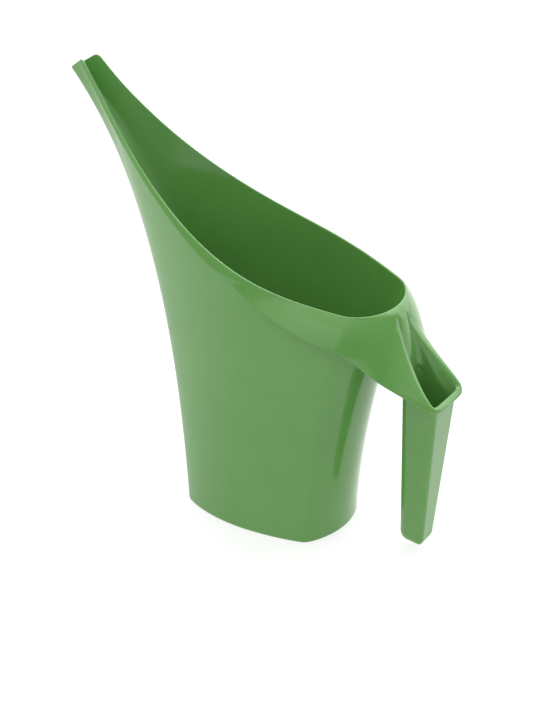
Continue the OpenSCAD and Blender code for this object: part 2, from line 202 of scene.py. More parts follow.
def sharp_skin(u, z):
    """Points on the outside of the wall, with the outlines' corners as they are."""
    folded = np.abs(u)
    folded = np.where(folded > BACK, 2 * BACK - folded, folded)
    side = np.where((u < 0) | (u > BACK), -1, 1)
    foot = along(FOOT, folded)
    p = foot + (along(TOP, folded) - foot) * leant(folded, z)[..., None]
    return np.stack([p[..., 0], p[..., 1] * side, np.broadcast_to(z, p.shape[:-1])], -1)


def skin(u, z):
    """Points on the outside of the wall at u round it and at height z, its rear corners softened."""
    u = np.asarray(u, float)
    z = np.broadcast_to(np.asarray(z, float), u.shape)
    near = np.clip(1 - ((np.minimum(u, 2 * BACK - u) - REAR_CORNER) / CORNER_SPAN) ** 2, 0, 1)
    reach = CORNER_SOFTENING * near**2
    weights = {-1.0: 1, -0.5: 2, 0.0: 2, 0.5: 2, 1.0: 1}
    return sum(w * sharp_skin(u + k * reach, z) for k, w in weights.items()) / sum(weights.values())


HALVINGS = 36


def rim_z(u):
    """The height of the rim at u, found by halving."""
    low = np.full(np.shape(u), RIM_REAR_Z / 2)
    high = np.full(np.shape(u), LIP_Z)
    for _ in range(HALVINGS):
        middle = (low + high) / 2
        under = middle < cut_z(skin(u, middle)[..., 0])
        low, high = np.where(under, middle, low), np.where(under, high, middle)
    return (low + high) / 2


STEP = 1e-3  # between the points from which a direction is taken


def wall_out(u, z):
    """The outward direction of the wall."""
    up = skin(u, z + STEP) - skin(u, z - STEP)
    way = skin(u + STEP, z) - skin(u - STEP, z)
    return unit(np.cross(up, way))


# ------------------------------------------------------------------ grids of points
def neighbours(points, closed):
    """The points before and after each one in its row. At an open end they are extrapolated."""
    before, after = np.roll(points, 1, axis=1), np.roll(points, -1, axis=1)
    if not closed:
        before[:, 0] = 3 * points[:, 0] - 3 * points[:, 1] + points[:, 2]
        after[:, -1] = 3 * points[:, -1] - 3 * points[:, -2] + points[:, -3]
    return before, after


def directions(points, closed=False):
    """The direction of each row of a grid at each of its points, true for uneven steps too."""
    before, after = neighbours(points, closed)
    back, on = points - before, after - points
    back_size = np.linalg.norm(back, axis=-1, keepdims=True) + 1e-9
    on_size = np.linalg.norm(on, axis=-1, keepdims=True) + 1e-9
    return unit(on * back_size / on_size + back * on_size / back_size)


def grid_normals(points, closed=False):
    """Unit normals of a grid, on the side from which its rows run to the right of its columns."""
    across = directions(points, closed)
    down = directions(points.swapaxes(0, 1)).swapaxes(0, 1)
    return unit(np.cross(down, across))


class Solid:
    """One closed mesh, gathered as grids of points, each with the normals that shade it."""

    def __init__(self):
        self.points, self.normals, self.quads, self.count = [], [], [], 0

    def add(self, points, normals, closed=False, keep=None):
        """Adds a grid. Its faces turn to the side of its normals. keep says which cells exist."""
        points = np.asarray(points, float)
        normals = np.broadcast_to(np.asarray(normals, float), points.shape)
        rows, cols = points.shape[:2]
        index = self.count + np.arange(rows * cols).reshape(rows, cols)
        right = np.roll(index, -1, axis=1)
        quads = np.stack([index[:-1], right[:-1], right[1:], index[1:]], -1)
        if not closed:
            quads = quads[:, :-1]
        if keep is not None:
            quads = quads[keep]
        quads = quads.reshape(-1, 4)
        flat_points, flat_normals = points.reshape(-1, 3), normals.reshape(-1, 3)
        corner = flat_points[quads - self.count]
        facing = np.cross(corner[:, 2] - corner[:, 0], corner[:, 3] - corner[:, 1])
        shade = flat_normals[quads - self.count].sum(1)
        if (facing * shade).sum() < 0:
            quads = quads[:, ::-1]
        self.points.append(flat_points)
        self.normals.append(flat_normals)
        self.quads.append(quads)
        self.count += rows * cols

    def both_sides(self, points, normals):
        """Adds a grid and its mirror image."""
        self.add(points, normals)
        self.add(flip(points), flip(np.broadcast_to(normals, np.shape(points))))

    def make(self, name, material):
        """Welds the grids together and makes the object."""
        points = np.concatenate(self.points)
        normals = np.concatenate(self.normals)
        quads = np.concatenate(self.quads)
        places = np.round(points, 4) + 0.0  # no -0.0, so that mirrored points meet
        _, first, weld = np.unique(places, axis=0, return_index=True, return_inverse=True)
        weld = weld.reshape(-1)
        faces, shading = [], []
        # Corners that fall together are dropped, and so are faces with fewer than three left.
        for quad in quads:
            ids = weld[quad]
            kept = [k for k in range(4) if ids[k] != ids[k - 1]]
            if len(kept) >= 3 and len(set(ids)) == len(kept):
                faces.append([int(ids[k]) for k in kept])
                shading.extend(normals[quad[k]] for k in kept)
        mesh = bpy.data.meshes.new(name)
        mesh.from_pydata((points[first] * MM).tolist(), [], faces)
        mesh.polygons.foreach_set("use_smooth", [True] * len(faces))
        mesh.normals_split_custom_set([tuple(n) for n in shading])
        mesh.materials.append(material)
        piece = bpy.data.objects.new(name, mesh)
        bpy.context.scene.collection.objects.link(piece)
        return piece


# ------------------------------------------------------------------ places round the wall
STEPS = [48, 24, 32, 50]  # columns in each part of the outline
LIP = 40 / 48  # where the rim turns from the spout's end to its side
COLLAR_START = 1 + 15 / 24  # where the collar leaves the rim
SPOUT_EDGE = 1 + 10 / 24  # where the spout ends and the pot's wall begins
ROWS = 56
SPOUT_ROW = 32

TINY = 1e-6  # keeps rounding errors from deciding on which side of a limit a column lies

half = np.concatenate([i + np.arange(n) / n for i, n in enumerate(STEPS)])
ROUND = np.concatenate([half, [BACK], 2 * BACK - half[:0:-1]])
FOLDED = np.minimum(ROUND, 2 * BACK - ROUND)
RIM_Z = rim_z(ROUND)
row_share = np.linspace(0, 1, ROWS + 1)[:, None]
U_GRID = np.broadcast_to(ROUND, (ROWS + 1, len(ROUND)))
Z_GRID = FLOOR + (RIM_Z - FLOOR) * row_share
WALL_NORMALS = wall_out(U_GRID, Z_GRID)
WALL_OUTER = skin(U_GRID, Z_GRID)
WALL_INNER = WALL_OUTER - WALL * WALL_NORMALS
in_cell = np.minimum(ROUND + TINY, 2 * BACK - ROUND - TINY)
IN_SPOUT = (in_cell < SPOUT_EDGE)[None, :] & (np.arange(ROWS)[:, None] >= SPOUT_ROW)


def wall_piece(name, material, keep):
    """The part of the wall whose cells are kept, closed along its borders."""
    solid = Solid()
    solid.add(WALL_OUTER, WALL_NORMALS, closed=True, keep=keep)
    solid.add(WALL_INNER, -WALL_NORMALS, closed=True, keep=keep)
    wrap = np.arange(len(ROUND) + 1) % len(ROUND)
    for j in range(ROWS + 1):
        below = keep[j - 1] if j > 0 else np.zeros(len(ROUND), bool)
        above = keep[j] if j < ROWS else np.zeros(len(ROUND), bool)
        edge = np.stack([WALL_OUTER[j], WALL_INNER[j]])
        if (below & ~above).any():
            solid.add(edge, UP, closed=True, keep=(below & ~above)[None, :])
        if (above & ~below).any():
            solid.add(edge, -UP, closed=True, keep=(above & ~below)[None, :])
    for i in range(len(ROUND)):
        left, right = keep[:, i - 1], keep[:, i]
        edge = np.stack([WALL_OUTER[:, i], WALL_INNER[:, i]])
        way = unit(WALL_OUTER[0, wrap[i + 1]] - WALL_OUTER[0, i - 1])
        if (left & ~right).any():
            solid.add(edge, way, keep=(left & ~right)[None, :])
        if (right & ~left).any():
            solid.add(edge, -way, keep=(right & ~left)[None, :])
    return solid.make(name, material)


# ------------------------------------------------------------------ the collar's two edges
pocket_apex = vec(112.8, 0, 195.3)
pocket_corner = vec(149.2, 20.2, 137.2)
pocket_end = vec(151.6, 0, 134.9)
POCKET_START = 0.9


def rim_line(u):
    """Points on the rim's outer line at u round it."""
    return skin(u, rim_z(u))


rim_corner = rim_line(np.array(float(REAR_CORNER)))
SADDLE = np.array([
    rim_corner, rim_corner + vec(11, -5, -2), pocket_apex + vec(-0.5, 20, 2.7), pocket_apex,
])
pocket_front = bezier(SADDLE, POCKET_START)
POCKET_EDGE = [
    [pocket_front, vec(115, 8, 183), vec(136, 18.5, 152), pocket_corner],
    [pocket_corner, pocket_corner + vec(2.6, 0.3, -2.4), pocket_end + vec(0, 15.5, 0), pocket_end],
]

# Along the spout the collar is a narrow strip, which drops a little further the longer it runs.
STRIP_START = vec(0, 1.6, -1)
STRIP_GROWTH = vec(0, 0, -1.8)
collar_start = rim_line(np.array(COLLAR_START)) + STRIP_START + STRIP_GROWTH
collar_corner = vec(RIM_CORNER_X, 62.4, 183.2)
collar_flank = vec(118, 40.4, 154.1)
collar_tail = vec(150.5, 27.5, 134.3)
collar_end = vec(COLLAR_END_X, 0, 131.6)
HEM = [
    [collar_start, collar_start + vec(34, 2.8, -25.2), collar_corner + vec(-42, 18, 14.5), collar_corner],
    [collar_corner, collar_corner + vec(7.9, -3.4, -2.7), collar_flank + vec(-8.5, 5.4, 7.5), collar_flank],
    [collar_flank, collar_flank + vec(10, -5.2, -7.6), collar_tail + vec(-8, 4.2, 6), collar_tail],
    [collar_tail, collar_tail + vec(5.8, -3.4, -4.4), collar_end + vec(0, 19.5, 0), collar_end],
]

# The collar's columns follow the rim's as far as the pocket, and then go round the pocket's edge.
# Their places s on its hem run from the lips (0) past the strip's end (1), the rear corner (2), the
# flank (3) and the tail (4) to the rear end (5).
POCKET_U = REAR_CORNER + POCKET_START
on_rim = (ROUND > LIP - TINY) & (ROUND < POCKET_U + TINY)
COLLAR_U = ROUND[on_rim]
POCKET_SIDE_STEPS, POCKET_END_STEPS = 44, 28
S_POCKET = 3 + np.concatenate([
    np.arange(1, POCKET_SIDE_STEPS + 1) / POCKET_SIDE_STEPS,
    1 + np.arange(1, POCKET_END_STEPS + 1) / POCKET_END_STEPS,
])
S_RIM = np.where(
    COLLAR_U <= COLLAR_START,
    (COLLAR_U - LIP) / (COLLAR_START - LIP),
    np.where(
        COLLAR_U <= REAR_CORNER,
        1 + (COLLAR_U - COLLAR_START) / (REAR_CORNER - COLLAR_START),
        2 + (COLLAR_U - REAR_CORNER) / POCKET_START,
    ),
)
COLLAR_S = np.concatenate([S_RIM, S_POCKET])
N_RIM = len(S_RIM)

BEAD_RADIUS = WALL / 2
bead_out = WALL_NORMALS[-1]
bead_middle = WALL_OUTER[-1] - BEAD_RADIUS * bead_out
bead_way = directions(WALL_OUTER[-1:], closed=True)[0]
bead_up = unit(np.cross(bead_way, bead_out))

rim_side = rim_line(COLLAR_U[COLLAR_U <= REAR_CORNER])
saddle_side = bezier(SADDLE, COLLAR_U[COLLAR_U > REAR_CORNER] - REAR_CORNER)
COLLAR_TOP = np.concatenate([rim_side, saddle_side, along(POCKET_EDGE, S_POCKET - 3)])
strip_hem = COLLAR_TOP + STRIP_START + STRIP_GROWTH * COLLAR_S[:, None]
COLLAR_HEM = np.where(COLLAR_S[:, None] <= 1, strip_hem, along(HEM, np.maximum(COLLAR_S - 1, 0)))

# The hem bends softly where the narrow strip widens into the collar.
HEM_SOFTENING_PASSES = 80
HEM_SOFT_SPAN = 0.35
soft_offset = COLLAR_HEM - COLLAR_TOP
for _ in range(HEM_SOFTENING_PASSES):
    soft_offset[1:-1] = (soft_offset[:-2] + 2 * soft_offset[1:-1] + soft_offset[2:]) / 4
near_start = ease(2 - np.abs(COLLAR_S - 1) / HEM_SOFT_SPAN)[:, None]
COLLAR_HEM = COLLAR_HEM + (soft_offset - COLLAR_HEM + COLLAR_TOP) * near_start

OUTWARD = vec(0.3, 1, 0.5)  # roughly away from the can, anywhere on the collar's near half
# How far the collar's middle stands out from the straight line between its two edges.
COLLAR_BULGE = np.interp(COLLAR_S, [0, 1, 3, 4, 5], [0, 0, 3, 3, 1])
across = COLLAR_HEM - COLLAR_TOP
COLLAR_OUT = unit(np.cross(directions((COLLAR_HEM + COLLAR_TOP)[None] / 2)[0], across))
COLLAR_OUT[-1] = unit(vec(-across[-1, 2], 0, across[-1, 0]))
COLLAR_OUT *= np.sign((COLLAR_OUT * OUTWARD).sum(-1, keepdims=True))

COLLAR_ROWS = 26
EDGE = 0.9  # radius of the pocket's rounded edge
EDGE_ONSET = 0.25  # over this much of the hem that edge sets in
HEM_ROUNDING = 0.6
HEM_STEPS = 10
SLENDEREST = 0.4  # thickness over width where the collar is a narrow strip
LIFT_FADE = 0.3  # over this much of the outline, past the rear corner, the collar leaves the bead


def collar_surface(top, start, end):
    """The collar's outside as rows from its top to its hem, each column between its start and end."""
    t = start + (end - start) * np.linspace(0, 1, COLLAR_ROWS + 1)[:, None]
    t = t[..., None]
    points = top + (COLLAR_HEM - top) * t + COLLAR_OUT * COLLAR_BULGE[:, None] * 4 * t * (1 - t)
    normals = grid_normals(points)
    normals *= np.sign((normals * COLLAR_OUT).sum())
    normals[:, -1] *= vec(1, 0, 1)
    return points, unit(normals)


# Each column's outside begins below the pocket's rounded edge and ends above the rounded hem.
width = np.linalg.norm(COLLAR_HEM - COLLAR_TOP, axis=1)
edge_radius = EDGE * ease((COLLAR_S - 3) / EDGE_ONSET)
first_t = edge_radius / width
last_t = 1 - HEM_ROUNDING / np.maximum(width, 2 * HEM_ROUNDING)
THICKNESS = np.minimum(COLLAR_THICKNESS, SLENDEREST * width)
rim_normals = collar_surface(COLLAR_TOP, first_t, last_t)[1][0]
# The collar grows out of the rim's bead, so its top edge lies on the bead where its normal points.
lift = np.zeros_like(COLLAR_TOP)
fade = 1 - ease((COLLAR_U - REAR_CORNER) / LIFT_FADE)[:, None]
lift[:N_RIM] = BEAD_RADIUS * (rim_normals[:N_RIM] - bead_out[on_rim]) * fade
COLLAR_POINTS, COLLAR_NORMALS = collar_surface(COLLAR_TOP + lift, first_t, last_t)


def collar(material):
    """The skirt that sweeps out from the rim and back over the grip, with a rounded hem."""
    solid = Solid()
    down = directions(COLLAR_POINTS.swapaxes(0, 1)).swapaxes(0, 1)[-1]
    thick = THICKNESS[:, None]
    inner = COLLAR_POINTS - COLLAR_NORMALS * thick
    angle = np.radians(np.linspace(0, 180, HEM_STEPS + 1))[:, None, None]
    normal = COLLAR_NORMALS[-1]
    reach = np.minimum(HEM_ROUNDING, width / 2)[:, None]
    middle = COLLAR_POINTS[-1] - normal * thick / 2
    hem = middle + normal * thick / 2 * np.cos(angle) + down * reach * np.sin(angle)
    hem_normals = unit(normal * np.cos(angle) * reach + down * np.sin(angle) * thick / 2)
    solid.both_sides(COLLAR_POINTS, COLLAR_NORMALS)
    solid.both_sides(hem, hem_normals)
    solid.both_sides(inner[::-1], -COLLAR_NORMALS[::-1])
    solid.both_sides(np.stack([inner[0], COLLAR_POINTS[0]]), -down)
    section = np.concatenate([COLLAR_POINTS[:, 0], hem[:, 0], inner[::-1, 0]])
    core = np.broadcast_to((COLLAR_POINTS[0, 0] + inner[-1, 0]) / 2, section.shape)
    solid.both_sides(np.stack([section, core]), (-1, 0, 0))
    return solid.make("collar_skirt", material)


# ------------------------------------------------------------------ the rim's bead
BEAD_STEPS, BEAD_OUTER_STEPS = 8, 12
LIP_TURN = 0.12  # over this much of the outline the bead's outer normal turns to the collar's
APEX_OUT = unit(vec(0.88, 0, 0.48))  # the saddle's normal where it meets the middle plane
SADDLE_ONSET = 0.4  # over this much of the outline the saddle grows as thick as the collar


def rounded(a, a_way, b, b_way, steps):
    """Rows of points from a, leaving along a_way, to b, arriving along b_way, as nearly circular arcs."""
    turn = np.arccos(np.clip((a_way * b_way).sum(-1), -1, 1)) + 1e-4
    chord = np.linalg.norm(b - a, axis=-1)
    handle = (chord * (2 / 3) * np.tan(turn / 4) / np.sin(turn / 2))[:, None]
    curve = np.stack([a, a + a_way * handle, b - b_way * handle, b], -2)
    return bezier(curve, np.linspace(0, 1, steps + 1)[:, None])


def collar_top_all_round():
    """Where the collar or the wall takes over from the bead in every column, and the normal there."""
    place = WALL_OUTER[-1].copy()
    normal = bead_out.copy()
    half_place, half_normal = COLLAR_POINTS[0, :N_RIM], COLLAR_NORMALS[0, :N_RIM]
    place[on_rim], normal[on_rim] = half_place, half_normal
    # Over the pocket's front edge the normal turns on towards the middle plane.
    front = (ROUND > POCKET_U + TINY) & (ROUND <= BACK)
    share = ease((ROUND[front] - REAR_CORNER - POCKET_START) / (1 - POCKET_START))[:, None]
    place[front] = bezier(SADDLE, ROUND[front] - REAR_CORNER)
    normal[front] = unit(half_normal[-1] * (1 - share) + APEX_OUT * share)
    # Ahead of the lips the normal turns from the wall's to the collar's.
    ahead = (ROUND > LIP - LIP_TURN) & (ROUND < LIP - TINY)
    share = ease((ROUND[ahead] - LIP + LIP_TURN) / LIP_TURN)[:, None]
    normal[ahead] = unit(normal[ahead] * (1 - share) + half_normal[0] * share)
    place[ahead] = bead_middle[ahead] + BEAD_RADIUS * normal[ahead]
    mirrored = ROUND > BACK
    twin = (len(ROUND) - np.arange(len(ROUND))) % len(ROUND)
    place[mirrored] = flip(place[twin[mirrored]])
    normal[mirrored] = flip(normal[twin[mirrored]])
    return place, normal


OVER_PLACE, over_normal = collar_top_all_round()
over_way = directions(OVER_PLACE[None], closed=True)[0]
OVER_NORMAL = unit(over_normal - over_way * (over_normal * over_way).sum(-1, keepdims=True))


def bead_rows():
    """The bead's section in every column, from the inside over the top to the collar or the wall."""
    angle = np.radians(np.linspace(180, 90, BEAD_STEPS + 1))[:, None, None]
    inner_half = bead_middle + BEAD_RADIUS * (bead_out * np.cos(angle) + bead_up * np.sin(angle))
    inner_normals = bead_out * np.cos(angle) + bead_up * np.sin(angle)
    falling = unit(np.cross(OVER_NORMAL, over_way))
    outer_half = rounded(inner_half[-1], bead_out, OVER_PLACE, falling, BEAD_OUTER_STEPS)
    outer_normals = grid_normals(outer_half, closed=True)
    outer_normals *= sign((outer_normals * bead_up).sum(-1, keepdims=True))
    outer_normals[0], outer_normals[-1] = bead_up, OVER_NORMAL
    rows = np.concatenate([inner_half, outer_half[1:]])
    return rows, np.concatenate([inner_normals, outer_normals[1:]])


def rim_bead(material):
    """The rounded edge all round the mouth, widened behind it into the saddle above the pocket."""
    solid = Solid()
    rows, normals = bead_rows()
    solid.add(rows, normals, closed=True)
    plate = (COLLAR_THICKNESS * ease((FOLDED - REAR_CORNER) / SADDLE_ONSET))[:, None]
    lower_over = OVER_PLACE - OVER_NORMAL * plate
    lower_rim = WALL_OUTER[-1] - UP * plate
    solid.add(np.stack([OVER_PLACE, lower_over]), unit(np.cross(OVER_NORMAL, over_way)), closed=True)
    solid.add(np.stack([lower_over, lower_rim]), -UP, closed=True)
    solid.add(np.stack([lower_rim, WALL_OUTER[-1]]), -bead_out, closed=True)
    solid.add(np.stack([WALL_OUTER[-1], WALL_INNER[-1]]), -UP, closed=True)
    return solid.make("rim_bead_round", material)


# ------------------------------------------------------------------ the grip and its pocket
# Half the grip's section runs over its front face (0 to 1), front edge, side, rear edge and rear
# face (4 to 5).
GRIP_BACK = 5
GRIP_FOOT_DEPTH, GRIP_TOP_DEPTH = 21.4, 33.8
GRIP_FOOT_WIDTH, GRIP_TOP_WIDTH = 23.4, 41.6
GRIP_FRONT_RADIUS, GRIP_REAR_RADIUS = 7.0, 5.0
SHARPEST_EDGE = 1.0
GRIP_TAPER = 0.33  # how much narrower it is in front than behind
GRIP_SLOPE = 0.8  # of its top, which falls towards the rear
REAR_EDGE = 3.5  # the place of its rear edge's middle
SECTION_STEPS = 2000


def grip_section(w, z, inset):
    """Points at w round half of the grip, at height z, moved in from its surface by inset."""
    rise = (z - GRIP_LOW_Z) / (GRIP_TOP_Z - GRIP_LOW_Z)
    x0 = GRIP_FRONT_X + inset
    x1 = GRIP_FRONT_X + GRIP_FOOT_DEPTH + (GRIP_TOP_DEPTH - GRIP_FOOT_DEPTH) * rise - inset
    side = (GRIP_FOOT_WIDTH + (GRIP_TOP_WIDTH - GRIP_FOOT_WIDTH) * rise) / 2 - inset
    front = np.maximum(GRIP_FRONT_RADIUS - inset, SHARPEST_EDGE)
    rear = np.maximum(GRIP_REAR_RADIUS - inset, SHARPEST_EDGE)
    front_turn, rear_turn = np.radians(90 * (w - 1)), np.radians(90 * (w - 3))
    parts = [w <= 1, w <= 2, w <= 3, w <= 4]
    x = np.select(parts, [
        x0 + 0 * w,
        x0 + front - front * np.cos(front_turn),
        x0 + front + (x1 - x0 - front - rear) * (w - 2),
        x1 - rear + rear * np.sin(rear_turn),
    ], x1 + 0 * w)
    y = np.select(parts, [
        w * (side - front),
        side - front + front * np.sin(front_turn),
        side + 0 * w,
        side - rear + rear * np.cos(rear_turn),
    ], (GRIP_BACK - w) * (side - rear))
    ahead = (x1 + inset - x) / (x1 - x0 + 2 * inset)
    y = y * (1 - GRIP_TAPER * (side + inset) / side * ahead)
    return np.stack([x, y, np.broadcast_to(z, x.shape)], -1)


def spaced(lengths):
    """Places round half the grip, by length: 0 is its front, 1 its rear edge and 2 its back."""
    w = np.linspace(0, GRIP_BACK, SECTION_STEPS + 1)
    ring = grip_section(w, GRIP_TOP_Z, WALL)
    run = np.concatenate([[0], np.cumsum(np.linalg.norm(np.diff(ring, axis=0), axis=1))])
    corner = np.interp(REAR_EDGE, w, run)
    past_corner = corner + (lengths - 1) * (run[-1] - corner)
    return np.interp(np.where(lengths < 1, lengths * corner, past_corner), run, w)


# Columns round the pocket match the rim's over its front edge and the collar's along its sides.
# They lie evenly round the grip, and the pocket's corner leads to the middle of its rear edge.
FRONT_SADDLE = np.concatenate([[BACK], half[half > POCKET_U + TINY][::-1], [POCKET_U]])
to_corner = len(FRONT_SADDLE) + POCKET_SIDE_STEPS
W_HALF = spaced(np.concatenate([
    np.arange(to_corner) / (to_corner - 1),
    1 + np.arange(1, POCKET_END_STEPS + 1) / POCKET_END_STEPS,
]))
W_HALF[0], W_HALF[-1] = 0, GRIP_BACK
W_ROUND = np.concatenate([W_HALF, 2 * GRIP_BACK - W_HALF[-2:0:-1]])
W_FOLDED = np.minimum(W_ROUND, 2 * GRIP_BACK - W_ROUND)
W_SIDE = np.where(W_ROUND > GRIP_BACK, -1.0, 1.0)[:, None] * vec(0, 1, 0) + vec(1, 0, 1)
grip_ring_z = GRIP_TOP_Z - GRIP_SLOPE * (grip_section(W_FOLDED, GRIP_TOP_Z, 0)[:, 0] - GRIP_FRONT_X)


def grip_rows(shares, inset):
    """Rings of the grip from its lower end (0) to its sloping top (1)."""
    z = GRIP_LOW_Z + (grip_ring_z - GRIP_LOW_Z) * np.asarray(shares)[:, None]
    w = np.broadcast_to(W_FOLDED, z.shape)
    return grip_section(w, z, inset) * W_SIDE


GRIP_END_RADIUS = 8.0
GRIP_END_TAPER = 0.6  # how far the end draws in, over its height
GRIP_END_SHARE = GRIP_END_RADIUS / (GRIP_TOP_Z - GRIP_LOW_Z)
GRIP_END_ROWS = 12
GRIP_ROWS = 40
GRIP_INNER_ROWS = 20


def grip_body(rows, inset):
    """Rings of the grip above its rounded end."""
    return grip_rows(GRIP_END_SHARE + (1 - GRIP_END_SHARE) * np.linspace(0, 1, rows + 1), inset)


def grip_outside():
    """Rings of the grip's outside, from its lower end to its top."""
    rings = []
    for angle in np.radians(np.linspace(0, 90, GRIP_END_ROWS + 1))[:-1]:
        inset = GRIP_END_RADIUS * GRIP_END_TAPER * (1 - np.sin(angle))
        ring = grip_rows([GRIP_END_SHARE], inset)[0]
        ring[:, 2] = GRIP_LOW_Z + GRIP_END_RADIUS * (1 - np.cos(angle))
        rings.append(ring)
    low, body = np.stack(rings), grip_body(GRIP_ROWS, 0)
    # The end's rings are level at first and slope more and more, as the body's first one does.
    slope = body[0, :, 2] - GRIP_LOW_Z - GRIP_END_RADIUS
    low[:, :, 2] += slope * np.linspace(0, 1, GRIP_END_ROWS)[:, None]
    return np.concatenate([low, body])


def level_normals(rows, way):
    """Normals of closed rings that point away from their middles, or to them where way is -1."""
    normals = grid_normals(rows, closed=True)
    from_middle = (rows - rows.mean(1, keepdims=True)) * LEVEL
    return normals * way * sign((from_middle * normals).sum(-1, keepdims=True))


def grip(material):
    """The hollow grip, rounded at its lower end."""
    solid = Solid()
    outer, inner = grip_outside(), grip_body(GRIP_INNER_ROWS, WALL)
    outer_middle = np.broadcast_to(outer[0].mean(0), outer[0].shape)
    inner_middle = np.broadcast_to(inner[0].mean(0), inner[0].shape)
    solid.add(outer, level_normals(outer, 1), closed=True)
    solid.add(np.stack([outer[0], (outer[0] + outer_middle) / 2, outer_middle]), -UP, closed=True)
    solid.add(inner, level_normals(inner, -1), closed=True)
    solid.add(np.stack([inner[0], inner_middle]), UP, closed=True)
    solid.add(np.stack([inner[-1], outer[-1]]), UP, closed=True)
    return solid.make("grip_hollow", material)


LINING_ROWS = 30
LINING_THICKNESS = 0.8  # of the wall's, at its edge
EDGE_ROWS = 6
SOFTENING_PASSES = 30
SOFT_COLUMNS = 14  # over these columns the pocket's soft front turns into its crisp side
LOW_MARGIN, HIGH_MARGIN = 0.15, 0.2  # shares of its height over which the softening sets in and ends
LOW_REACH, HIGH_REACH = 0.3, 0.33  # how far the lining's curve keeps its direction at either end


def soften(lining):
    """Rounds the creases that run down from the pocket's two front corners."""
    smooth = np.concatenate([lining, flip(lining[:, -2:0:-1])], 1)
    for _ in range(SOFTENING_PASSES):
        smooth = (np.roll(smooth, 1, axis=1) + 2 * smooth + np.roll(smooth, -1, axis=1)) / 4
    height = np.linspace(0, 1, len(lining))[:, None, None]
    ahead = 1 - ease(np.arange(lining.shape[1]) / SOFT_COLUMNS - 1)[None, :, None]
    weight = ahead * ease(height / LOW_MARGIN) * ease((1 - height) / HIGH_MARGIN)
    return lining + (smooth[:, : lining.shape[1]] - lining) * weight


def pocket_rows():
    """Half the lining's rows, from the grip up over its rounded edge, and the normal on its far side."""
    # Where the lining's edge meets the saddle and the collar, and the way outward from there.
    over = [np.flatnonzero(np.isclose(ROUND, u))[0] for u in FRONT_SADDLE]
    edge = np.concatenate([OVER_PLACE[over], COLLAR_TOP[N_RIM:]])
    outside = np.concatenate([OVER_PLACE[over], COLLAR_POINTS[0, N_RIM:]])
    outside_normal = np.concatenate([OVER_NORMAL[over], COLLAR_NORMALS[0, N_RIM:]])
    saddle_down = unit(np.cross(OVER_NORMAL, over_way))[over]
    collar_down = directions(COLLAR_POINTS.swapaxes(0, 1)).swapaxes(0, 1)[0]
    outward = np.concatenate([-saddle_down, collar_down[N_RIM:]])
    # The lining rises to that edge from the grip, straight up at first.
    foot = grip_rows([1], WALL)[0][: len(W_HALF)]
    crisp = ease(np.arange(len(W_HALF)) / SOFT_COLUMNS)[:, None]
    rising = unit(unit(edge - foot) * crisp - saddle_down[:1] * (1 - crisp))
    inside = edge - rising * EDGE
    reach = np.linalg.norm(inside - foot, axis=1, keepdims=True)
    low_handle = foot + UP * reach * LOW_REACH
    high_handle = inside - rising * reach * HIGH_REACH
    curve = np.stack([foot, low_handle, high_handle, inside], -2)
    lining = soften(bezier(curve, np.linspace(0, 1, LINING_ROWS + 1)[:, None]))
    rounding = rounded(inside, rising, outside, outward, EDGE_ROWS)
    return np.concatenate([lining, rounding[1:]]), outside_normal


def handle_pocket(material):
    """The lining that leads from the collar down into the grip, with its rounded edge."""
    solid = Solid()
    half_rows, half_outside = pocket_rows()
    rows = np.concatenate([half_rows, flip(half_rows[:, -2:0:-1])], 1)
    outside_normal = np.concatenate([half_outside, flip(half_outside[-2:0:-1])])
    normals = grid_normals(rows, closed=True)
    to_middle = (rows.mean(1, keepdims=True) - rows) * LEVEL
    normals *= np.sign((to_middle * normals).sum())
    normals[-1] = outside_normal
    solid.add(rows, normals, closed=True)
    # The back of the lining runs behind it down to the outside of the grip.
    share = np.linspace(0, 1, LINING_ROWS + 1)[:, None, None]
    at_grip = grip_rows([1], 0) - grip_rows([1], WALL)
    back_normals = -normals[: LINING_ROWS + 1]
    back = rows[: LINING_ROWS + 1] + at_grip * (1 - share)
    back = back + back_normals * WALL * LINING_THICKNESS * share
    solid.add(back, back_normals, closed=True)
    solid.add(np.stack([back[-1], rows[-1]]), outside_normal, closed=True)
    solid.add(np.stack([back[0], rows[0]]), -UP, closed=True)
    return solid.make("handle_pocket_lining", material)


# ------------------------------------------------------------------ the floor
FILLET = 3.0
FOOT_EDGE = 1.6
RECESS = 0.7
FOOT_RING = 3.5
GATE_RADIUS = 5.0
GATE_PROFILE = [(1, 0), (0.93, 0.35), (0.3, 0.35), (0.24, 0.1), (0.0, 0.1)]  # share of radius, height
EDGE_ANGLES = np.radians(np.linspace(0, 90, 9))[:, None, None]
STEP_ANGLES = np.radians(np.linspace(0, 90, 4))[:, None, None]
ACROSS = np.linspace(0, 1, 9)[:, None, None]


